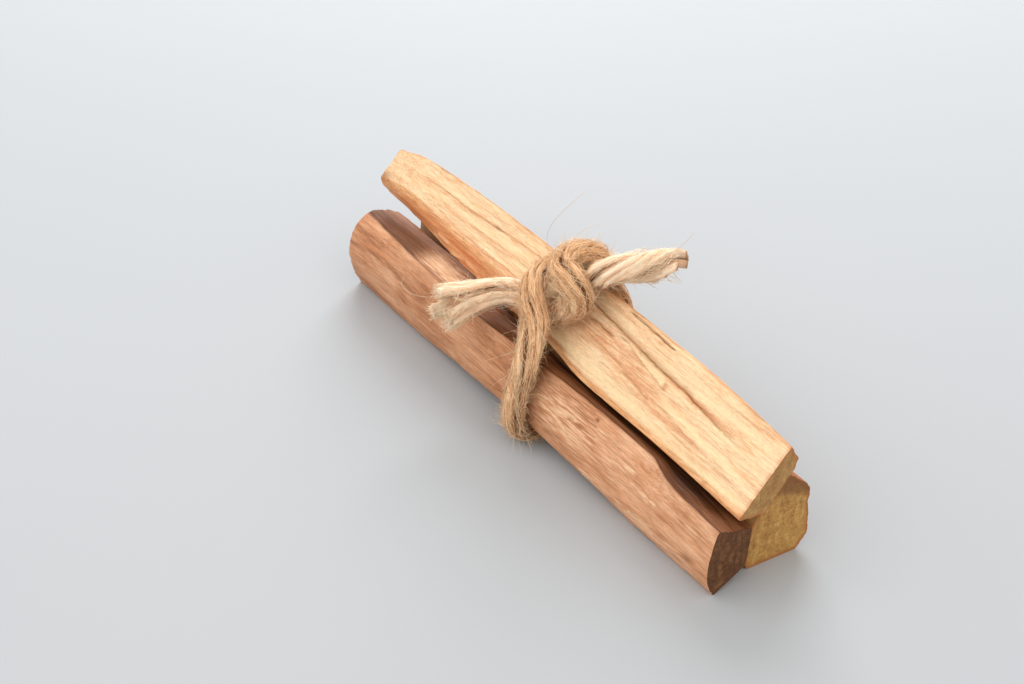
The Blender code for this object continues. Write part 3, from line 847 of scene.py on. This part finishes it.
def clinging_fibres(rng, count, length=8):
    """Fibres that lie along the twine, matted a little off its surface."""
    start = rng.uniform(-0.5, strand.length + 0.5, count)
    reach = rng.uniform(1.5, 6.0, count) * rng.choice([-1, 1], count)
    share = np.linspace(0, 1, length)[None, :]
    run = start[:, None] + reach[:, None] * share
    theta = rng.uniform(0, 2 * math.pi, count)[:, None] + twist(run)
    in_knot = smooth_step((KNOT[1] - start) / 4) * smooth_step((start - KNOT[0] + 2) / 4)
    theta = theta + (0.6 + 1.0 * in_knot[:, None]) * rng.normal(0, 1, count)[:, None] * share
    theta = theta + 0.3 * noise(run / 1.5, np.arange(count)[:, None] * 1.7, 0, 111)
    limit = strand.length + 0.1 - cut_back(theta[:, -1] - twist(run[:, -1]) + twist(strand.length))
    run = run - np.maximum(run.max(1) - limit, 0)[:, None]
    first = 0.2 + 0.8 * rng.random(count)
    run = run + np.maximum(first - run.min(1), 0)[:, None]
    lift = rng.uniform(-0.12, 0.12, count)[:, None] + rng.gamma(1.2, 0.16, count)[:, None] * share**2
    bow = rng.gamma(1.0, 0.14 + 0.08 * in_knot)[:, None] * np.sin(math.pi * share)
    paths = strand.round_place(run, theta, YARN_RADIUS * spread(run) + lift + bow - 0.03)
    radii = rng.uniform(0.028, 0.056, count)[:, None] * (1 - 0.75 * np.abs(2 * share - 1) ** 3)
    return paths, radii, paleness(run[:, 0])


def loose_fibres(rng, starts, lengths, spreadout=0.9, length=7):
    """Fibres that leave the twine's surface and curl."""
    count = len(starts)
    theta = rng.uniform(0, 2 * math.pi, count)
    starts = np.minimum(starts, strand.length - 0.2 - cut_back(theta))
    base = strand.round_place(starts, theta, YARN_RADIUS * spread(starts) - 0.15)
    centre, tangent, *_ = strand.at(starts)
    outward = unit(base - centre)
    along = tangent * rng.choice([-1, 1], count)[:, None]
    heading = outward * spreadout + along * rng.uniform(0.2, 1.2, count)[:, None]
    heading = unit(heading + 0.35 * rng.normal(size=(count, 3)))
    bend_axis = unit(rng.normal(size=(count, 3)))
    bend = rng.normal(0, 1.0, count)[:, None] * 0.22
    paths = [base]
    step = (lengths / (length - 1))[:, None]
    for _ in range(length - 1):
        curl = np.cross(bend_axis, heading) * bend
        heading = unit(heading + curl + 0.10 * rng.normal(size=(count, 3)))
        paths.append(paths[-1] + heading * step)
    radii = rng.uniform(0.026, 0.048, count)[:, None] * (1 - 0.7 * np.linspace(0, 1, length)[None, :])
    return above_floor(np.stack(paths, 1)), radii, paleness(starts)


def above_floor(paths):
    """The paths, with what is too low lifted just off the floor."""
    paths[..., 2] = np.maximum(paths[..., 2], 0.1)
    return paths


def tuft_fibres(rng, count, length=6):
    """Fibres that stick out of the plies' tips at the left end, spread like a brush."""
    share = np.linspace(0, 1, length)[None, :]
    paths = []
    for ply in range(OUTER_PLIES + CORE_PLIES):
        start = rng.uniform(1.2, 3.6, count)[:, None]
        tip = rng.uniform(-0.3, 1.0, count)[:, None]
        run = start + (tip - start) * share
        ring, turn = ply_centre(ply, run)
        angle = rng.uniform(0, 2 * math.pi, count)[:, None]
        out = PLY_RADIUS * np.sqrt(rng.uniform(0.1, 1.1, count))[:, None] * (1 + 0.15 * share**2)
        bend = 0.12 * rng.normal(size=(2, count, 1)) * share**2
        across = ring * np.sin(turn) + out * np.sin(angle) + bend[0]
        through = ring * np.cos(turn) + out * np.cos(angle) + bend[1]
        paths.append(strand.place(run, across, through))
    paths = np.concatenate(paths)
    radii = rng.uniform(0.035, 0.065, len(paths))[:, None] * (1 - 0.3 * share**3)
    return paths, radii, 1.0


def matted_fibres(rng, count, length=9):
    """Fibres matted between the strand that crosses the top stick and the one over its right
    edge, under the right end."""
    share = np.linspace(0, 1, length)[None, :, None]
    theta = rng.uniform(-1.4, 1.4, (2, count))
    first = rng.uniform(24.5, 31.0, count)
    second = rng.uniform(41.0, 45.5, count)
    outward = YARN_RADIUS * 0.7
    start = strand.round_place(first, math.pi - theta[0], outward)[:, None]
    end = strand.round_place(second, math.pi - theta[1], outward)[:, None]
    over = np.array(on_face(5.6, -2.4, 1.5)) + SHIFT + rng.normal(0, 0.55, (count, 3)) * (1.2, 1.0, 0.8)
    paths = start * (1 - share) ** 2 + 2 * over[:, None] * share * (1 - share) + end * share**2
    paths = paths + rng.normal(0, 0.05, (count, 1, 3)) * np.sin(9 * share)
    radii = rng.uniform(0.03, 0.06, count)[:, None] * (1 - 0.6 * np.abs(2 * share[..., 0] - 1) ** 3)
    return paths, radii


# Single long hairs as seen in the photograph: where each leaves the twine, as a place along it
# and a turn round it, and how it runs from there in millimetres to the right and up
SINGLE_HAIRS = [
    (36.0, 0.3, [(0, 0), (-1.6, 2.6), (-1.2, 6.0), (1.6, 9.2), (4.6, 11.8)]),
    (38.0, 0.8, [(0, 0), (1.4, 2.4), (3.6, 4.0), (6.2, 4.6)]),
    (3.0, 2.8, [(0, 0), (-3.0, -0.4), (-5.6, 0.2), (-7.2, 1.6), (-6.8, 3.0)]),
    (6.0, 1.2, [(0, 0), (-2.0, 2.0), (-4.4, 3.0), (-6.6, 3.0)]),
    (152.5, 0.4, [(0, 0), (1.2, 0.8), (2.6, 2.2), (3.6, 3.2)]),
    (118.0, 1.6, [(0, 0), (1.6, 1.0), (3.4, 1.4), (4.6, 0.6)]),
    (104.0, 1.4, [(0, 0), (1.5, 0.6), (3.0, 0.4), (4.0, -0.6)]),
    (100.0, -1.6, [(0, 0), (-1.4, -0.8), (-2.6, -2.0), (-3.2, -3.4)]),
]


def single_hairs(length=14):
    """The hairs of SINGLE_HAIRS, laid out in the photograph's own directions."""
    right, up, _ = np.array(view_directions())
    paths = []
    for run, turn, steps in SINGLE_HAIRS:
        base = strand.round_place(np.array([run]), np.array([turn]), YARN_RADIUS * 0.95)
        marks = np.linspace(0, len(steps) - 1, length)
        aside, above = along_curve(np.array(steps, float)[..., None], marks)[..., 0].T
        paths.append(above_floor(base + aside[:, None] * right + above[:, None] * up))
    paths = np.array(paths)
    return paths, np.full(paths.shape[:2], 0.045) * (1 - 0.6 * np.linspace(0, 1, length))


# Materials


class Nodes:
    """Short calls for building one material's nodes."""

    def __init__(self, name, roughness):
        self.material = bpy.data.materials.new(name)
        self.material.use_nodes = True
        self.tree = self.material.node_tree
        self.shader = self.tree.nodes["Principled BSDF"]
        self.shader.inputs["Roughness"].default_value = roughness
        self.shader.inputs["Specular IOR Level"].default_value = 0.3

    def add(self, kind, **values):
        made = self.tree.nodes.new(kind)
        for key, value in values.items():
            setattr(made, key, value)
        return made

    def fill(self, made, **sources):
        """Sets a node's inputs, each to a number or colour, or links it to another node's output."""
        for name, source in sources.items():
            socket = made.inputs[name]
            if isinstance(source, (int, float, tuple)):
                socket.default_value = source
            else:
                self.tree.links.new(source, socket)

    def attribute(self, name, vector=False):
        made = self.add("ShaderNodeAttribute", attribute_name=name)
        return made.outputs["Vector" if vector else "Fac"]

    def noise(self, scale, detail=2.0, roughness=0.6, distortion=0.0, place=None):
        """Noise over the object's coordinates in metres, or another place, stretched by a scale."""
        if place is None:
            place = self.add("ShaderNodeTexCoord").outputs["Object"]
        mapping = self.add("ShaderNodeMapping")
        self.fill(mapping, Vector=place, Scale=scale)
        made = self.add("ShaderNodeTexNoise")
        self.fill(made, Vector=mapping.outputs["Vector"], Scale=1.0, Detail=detail, Roughness=roughness,
                  Distortion=distortion)
        return made.outputs["Fac"]

    def ramp(self, factor, *stops):
        """A colour, or a number, that follows the factor from stop to stop."""
        made = self.add("ShaderNodeValToRGB")
        elements = made.color_ramp.elements
        elements.remove(elements[-1])
        for i, (place, colour) in enumerate(stops):
            element = elements.new(place) if i else elements[0]
            element.position = place
            element.color = (*colour, 1.0) if isinstance(colour, tuple) else (colour, colour, colour, 1.0)
        self.fill(made, Fac=factor)
        return made.outputs["Color"]

    def between(self, factor, low, high, blend="MIX"):
        """The second colour laid over the first, as far as the factor says."""
        made = self.add("ShaderNodeMix", data_type="RGBA", blend_type=blend)
        for source, socket in ((factor, made.inputs[0]), (low, made.inputs[6]), (high, made.inputs[7])):
            if isinstance(source, tuple):
                socket.default_value = (*source, 1.0)
            elif isinstance(source, float):
                socket.default_value = source
            else:
                self.tree.links.new(source, socket)
        return made.outputs[2]

    def times(self, colour, shade):
        return self.between(1.0, colour, shade, "MULTIPLY")

    def math(self, operation, a, b=0.0, c=0.0, clamp=False):
        made = self.add("ShaderNodeMath", operation=operation, use_clamp=clamp)
        for source, socket in zip((a, b, c), made.inputs):
            if isinstance(source, (int, float)):
                socket.default_value = source
            else:
                self.tree.links.new(source, socket)
        return made.outputs[0]

    def total(self, start, *terms):
        """A number plus the sum of sources times their weights."""
        for source, weight in terms:
            start = self.math("MULTIPLY_ADD", source, weight, start)
        return start

    def tinted(self, colour, name, gate, target):
        """The colour mixed with the target's, by a stored value times a gate."""
        mask = self.math("MULTIPLY", self.attribute(name), gate, clamp=True)
        return self.between(mask, colour, target)

    def finish(self, colour, height, distance, rough=None):
        """The finished material, with its bump's distance in millimetres."""
        bump = self.add("ShaderNodeBump")
        self.fill(bump, Strength=1.0, Distance=distance * MM, Height=height)
        self.fill(self.shader, **{"Base Color": colour, "Normal": bump.outputs["Normal"]})
        if rough is not None:
            self.fill(self.shader, Roughness=rough)
        return self.material


# The brown of the deepest painted shade on the wood, where a stored darkness passes one
DEEPEST = (0.03, 0.012, 0.006)


def wood_material(name, colours):
    """Split wood: long streaks between a pale and a warm colour, fine fibres, and its features' colours
    from the surface's stored values, with painted shade and painted highlights among them."""
    n = Nodes(name, roughness=0.62)
    broad = n.noise(colours["blotches"], 2.0, 0.5, 0.4)
    streaks = n.noise((110, 1900, 1900), 3.0, 0.6, 0.2)
    fine = n.noise((260, 5200, 5200), 2.0, 0.6, 0.1)
    fibres = n.noise((900, 11000, 11000))
    weights = colours["weights"]
    level = n.total(0.5 - 0.5 * sum(weights), *zip((broad, streaks, fine), weights),
                    (n.attribute("warm"), colours["warm_pull"]))
    side = n.ramp(level, *colours["side_stops"])
    colour = n.between(n.attribute("side"), n.ramp(level, *colours["stops"]), side)
    veins = n.noise((45, 1500, 1500), 3.0, 0.65, 0.6)
    veins = n.math("ABSOLUTE", n.math("ADD", veins, -0.5))
    colour = n.times(colour, n.ramp(veins, (0.0, colours["veins"]), (0.03, 1.0)))
    light = n.attribute("light")
    light_mask = n.math("MULTIPLY", light, n.ramp(fine, *colours["light_gate"]))
    full = n.math("MAXIMUM", n.math("ADD", light, -1.0), 0.0)
    light_mask = n.math("ADD", light_mask, full, clamp=True)
    colour = n.between(light_mask, colour, colours["light"])
    # The stored darkness holds stains and painted shade; past one it deepens to the darkest brown
    colour = n.tinted(colour, "dark", n.ramp(streaks, (0.3, 1.0), (0.75, 0.75)), colours["dark"])
    colour = n.between(n.math("ADD", n.attribute("dark"), -1.0, clamp=True), colour, DEEPEST)
    colour = n.tinted(colour, "rust_and_highlight", n.ramp(streaks, (0.3, 0.4), (0.7, 1.0)), colours["rust_and_highlight"])
    colour = n.times(colour, n.ramp(fibres, (0.25, 0.76), (0.5, 1.0), (0.75, 1.16)))
    height = n.total(0.0, (fine, 0.6), (fibres, 0.45), (streaks, 0.4))
    return n.finish(colour, height, 0.06, n.ramp(fine, (0.3, 0.5), (0.7, 0.74)))


def end_material(name, colours):
    """A sawn end: fine pores, rings in bands, the saw's marks and a thin darker rim."""
    n = Nodes(name, roughness=0.75)
    rings = n.noise((40, 700, 240), 3.0, 0.6, 1.0)
    mottle = n.noise((400, 1300, 1300), 3.0, 0.6, 0.4)
    pores = n.noise((3000, 5200, 5200))
    saw = n.noise((200, 300, 2600))
    colour = n.ramp(n.total(-0.22, (rings, 0.7), (saw, 0.25), (mottle, 0.5)), *colours["end_stops"])
    near_rim = n.total(-0.08, (mottle, 0.16), (n.attribute("rim"), 1.0))
    colour = n.between(n.ramp(near_rim, (0.86, 0.0), (0.97, 0.85)), colour, colours["rim"])
    colour = n.between(n.attribute("dark"), colour, colours["dark"])
    colour = n.times(colour, n.ramp(pores, (0.28, 0.68), (0.5, 1.0), (0.75, 1.15)))
    return n.finish(colour, n.total(0.0, (pores, 0.5), (saw, 0.5)), 0.08)


def jute_material():
    """Spun jute: pale and grey-brown fibres along each ply, with painted shade between them, beneath
    the twine and on its far side, and the sheen of fine hairs too short to model."""
    n = Nodes("jute_fibres", roughness=0.85)
    yarn = n.attribute("yarn", vector=True)
    broad = n.noise((0.14, 1.2, 1.2), place=yarn)
    fibres = n.noise((0.30, 6.0, 6.0), 3.0, 0.65, 0.3, place=yarn)
    fine = n.noise((0.9, 17.0, 17.0), place=yarn)
    level = n.total(-0.35, (broad, 0.35), (fibres, 0.85), (fine, 0.5))
    browner = n.ramp(level, (0.34, (0.25, 0.10, 0.036)), (0.45, (0.76, 0.40, 0.185)),
                     (0.56, (0.96, 0.62, 0.345)), (0.70, (1.0, 0.82, 0.59)))
    paler = n.ramp(level, (0.30, (0.60, 0.29, 0.14)), (0.40, (0.99, 0.63, 0.40)),
                   (0.50, (1.0, 0.77, 0.55)), (0.63, (1.0, 0.88, 0.71)))
    colour = n.between(n.attribute("pale"), browner, paler)
    tip = n.ramp(fibres, (0.4, (0.30, 0.105, 0.035)), (0.6, (0.66, 0.30, 0.12)))
    colour = n.between(n.attribute("tip"), colour, tip)
    # Painted shade between the plies, beneath the twine and on the standing strand's far side
    colour = n.times(colour, n.ramp(n.attribute("deep"), (0.0, 1.0), (1.0, (0.46, 0.34, 0.25))))
    n.fill(n.shader, **{"Sheen Weight": 0.3, "Sheen Roughness": 0.6, "Sheen Tint": (1.0, 0.78, 0.58, 1.0)})
    return n.finish(colour, n.total(0.0, (fibres, 0.9), (fine, 0.5)), 0.06)


def hair_material():
    """Single jute fibres, from brown to cream, and paler at the twine's ends."""
    n = Nodes("jute_hairs", roughness=0.7)
    mottle = n.noise((900, 900, 900), 2.0, 0.55)
    level = n.total(0.0, (n.attribute("tone"), 0.75), (mottle, 0.3))
    browner = n.ramp(level, (0.1, (0.52, 0.26, 0.11)), (0.4, (0.88, 0.58, 0.33)), (0.95, (1.0, 0.84, 0.60)))
    paler = n.ramp(level, (0.1, (0.84, 0.56, 0.34)), (0.4, (1.0, 0.80, 0.57)), (0.95, (1.0, 0.92, 0.76)))
    return n.finish(n.between(n.attribute("pale"), browner, paler), mottle, 0.01)


# Each wood's colours, from pale to dark, and how strongly its streaks and features show. The stops
# are (level, colour) or (level, number), and the weights are those of its blotches, streaks and fibres
WOODS = {
    "stick_top": {
        "slot": "pale_wood",
        "warm_pull": 0.26,
        "weights": (0.5, 0.7, 0.8),
        "blotches": (60, 700, 700),
        "veins": 0.84,
        "stops": [(0.30, (0.96, 0.73, 0.455)), (0.48, (0.94, 0.66, 0.395)), (0.64, (0.88, 0.53, 0.295)),
                  (0.85, (0.76, 0.375, 0.19))],
        "side_stops": [(0.30, (0.88, 0.53, 0.275)), (0.5, (0.77, 0.39, 0.17)), (0.75, (0.54, 0.22, 0.085))],
        "light": (0.97, 0.71, 0.41),
        "light_gate": [(0.3, 0.5), (0.6, 1.0)],
        "dark": (0.27, 0.13, 0.055),
        "rust_and_highlight": (0.58, 0.19, 0.065),
        "rim": (0.50, 0.19, 0.06),
        "end_stops": [(0.3, (0.34, 0.17, 0.055)), (0.5, (0.46, 0.252, 0.09)), (0.7, (0.58, 0.36, 0.14))],
    },
    "stick_left": {
        "slot": "brown_wood",
        "warm_pull": 0.12,
        "weights": (0.8, 0.35, 0.75),
        "blotches": (130, 420, 420),
        "veins": 0.76,
        "stops": [(0.30, (0.40, 0.155, 0.068)), (0.48, (0.59, 0.26, 0.125)), (0.64, (0.70, 0.345, 0.18)),
                  (0.85, (0.83, 0.47, 0.28))],
        "side_stops": [(0.35, (0.36, 0.15, 0.065)), (0.55, (0.46, 0.21, 0.09)), (0.75, (0.55, 0.30, 0.15))],
        "light": (0.90, 0.58, 0.36),
        "light_gate": [(0.46, 0.0), (0.58, 1.0)],
        "dark": (0.135, 0.040, 0.009),
        "rust_and_highlight": (0.74, 0.30, 0.13),
        "rim": (0.13, 0.05, 0.02),
        "end_stops": [(0.3, (0.08, 0.030, 0.010)), (0.5, (0.135, 0.053, 0.019)), (0.7, (0.25, 0.115, 0.045))],
    },
    "stick_right": {
        "slot": "olive_wood",
        "warm_pull": 0.15,
        "weights": (0.6, 0.6, 0.6),
        "blotches": (60, 700, 700),
        "veins": 0.7,
        "stops": [(0.3, (0.46, 0.22, 0.08)), (0.55, (0.36, 0.14, 0.05)), (0.75, (0.26, 0.08, 0.03))],
        "side_stops": [(0.3, (0.62, 0.36, 0.14)), (0.5, (0.50, 0.26, 0.09)), (0.75, (0.38, 0.17, 0.055))],
        "light": (0.72, 0.46, 0.20),
        "light_gate": [(0.3, 0.3), (0.6, 1.0)],
        "dark": (0.20, 0.08, 0.03),
        "rust_and_highlight": (0.40, 0.13, 0.045),
        "rim": (0.42, 0.14, 0.04),
        "end_stops": [(0.3, (0.33, 0.145, 0.04)), (0.5, (0.51, 0.275, 0.076)), (0.7, (0.66, 0.385, 0.128))],
    },
}


# Putting it together


def place_sticks():
    """The three sticks, each in place of its solid."""
    for node, make in (("stick_top", top_stick), ("stick_left", left_stick), ("stick_right", right_stick)):
        wood = make()
        colours = WOODS[node]
        wood.data.materials.append(wood_material(node + "_grain", colours))
        wood.data.materials.append(end_material(node + "_sawn", colours))
        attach(wood, "root")
        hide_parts(node)


def place_twine():
    """The twine's plies and fibres, in place of its solid."""
    jute, hair = jute_material(), hair_material()
    near = plies_object("twine_plies_a", (0, 2, 4, 6), rows=850, sides=18)
    far = plies_object("twine_plies_b", (1, 3, 5, 7), rows=850, sides=18)
    core = plies_object("twine_plies_c", (8, 9, 10), rows=320, sides=8)
    rng = np.random.default_rng(12)
    clinging = fibres_object("twine_clinging_fibres", *clinging_fibres(rng, count=3000))
    anywhere = rng.uniform(0, strand.length, size=1000)
    knot = rng.uniform(*KNOT, size=1400)
    standing = strand.length - rng.uniform(*STANDING, size=1800)
    left_tip = rng.uniform(0.5, 8, size=100)
    starts = np.concatenate([anywhere, knot, standing, left_tip])
    lengths = 0.4 + rng.gamma(1.3, 0.75, len(starts))
    lengths = np.where((starts < 4) | (starts > strand.length - 6), 0.5 * lengths, lengths)
    loose = fibres_object("twine_loose_fibres", *loose_fibres(rng, starts, lengths))
    matted = fibres_object("twine_matted_fibres", *matted_fibres(rng, count=420))
    tuft = fibres_object("twine_tuft_fibres", *tuft_fibres(rng, count=60))
    single = fibres_object("twine_single_hairs", *single_hairs())
    threads = [(piece, jute) for piece in (near, far, core)]
    hairs = [(piece, hair) for piece in (clinging, loose, matted, tuft, single)]
    for piece, material in threads + hairs:
        piece.data.materials.append(material)
        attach(piece, "root")
    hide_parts("twine_tie")


def place_floor(size=3.0):
    """The pale surface under the bundle, which reaches the size in metres each way."""
    mesh = bpy.data.meshes.new("floor")
    corners = [(-size, -size, 0), (size, -size, 0), (size, size, 0), (-size, size, 0)]
    mesh.from_pydata(corners, [], [(0, 1, 2, 3)])
    floor = bpy.data.objects.new("floor", mesh)
    bpy.context.scene.collection.objects.link(floor)
    n = Nodes("pale_floor", roughness=0.8)
    cloudy = n.noise((3, 3, 3), 3.0, 0.55)
    colour = n.ramp(cloudy, (0.3, (0.435, 0.457, 0.483)), (0.7, (0.455, 0.477, 0.503)))
    speckle = n.noise((900, 900, 900), 2.0, 0.55)
    mesh.materials.append(n.finish(colour, speckle, 0.004))


def place_camera():
    """The photograph's view, from about 257 mm away."""
    data = bpy.data.cameras.new("camera")
    camera = bpy.data.objects.new("camera", data)
    bpy.context.scene.collection.objects.link(camera)
    place = Matrix(view_directions()).transposed().to_4x4()
    place.translation = (Vector(CAMERA_PLACE) + Vector(SHIFT)) * MM
    camera.matrix_world = place
    data.sensor_width = 36.0
    data.lens = FOCAL_LENGTH * data.sensor_width / PHOTO_WIDTH
    data.clip_start = 0.01
    data.clip_end = 20
    bpy.context.scene.camera = camera


def area_light(name, place, aim, size, watts, colour):
    """A round soft light, with its place, aim and size in metres."""
    data = bpy.data.lights.new(name, "AREA")
    data.shape = "DISK"
    data.size = size
    data.energy = watts
    data.color = colour
    light = bpy.data.objects.new(name, data)
    light.location = place
    direction = Vector(aim) - Vector(place)
    light.rotation_euler = direction.to_track_quat("-Z", "Y").to_euler()
    bpy.context.scene.collection.objects.link(light)


def place_lights():
    """A large window light, two weaker fills and a soft room all round."""
    area_light("window", place=(-0.74, -1.40, 1.66), aim=(0, 0, 0.01), size=2.4, watts=20.5,
               colour=(0.95, 0.975, 1.0))
    area_light("back_fill", place=(-0.42, 0.36, 0.34), aim=(-0.07, 0.06, 0), size=0.5, watts=3.7,
               colour=(0.96, 0.98, 1.0))
    area_light("room_fill", place=(1.05, 0.05, 1.55), aim=(0, 0, 0.01), size=1.8, watts=5.0,
               colour=(1.0, 0.965, 0.91))
    world = bpy.data.worlds.new("soft_room")
    world.use_nodes = True
    background = world.node_tree.nodes["Background"]
    background.inputs["Color"].default_value = (1.0, 0.955, 0.89, 1.0)
    background.inputs["Strength"].default_value = 0.83
    bpy.context.scene.world = world
    bpy.context.scene.view_settings.view_transform = "Standard"


place_sticks()
place_twine()
place_floor()
place_camera()
place_lights()
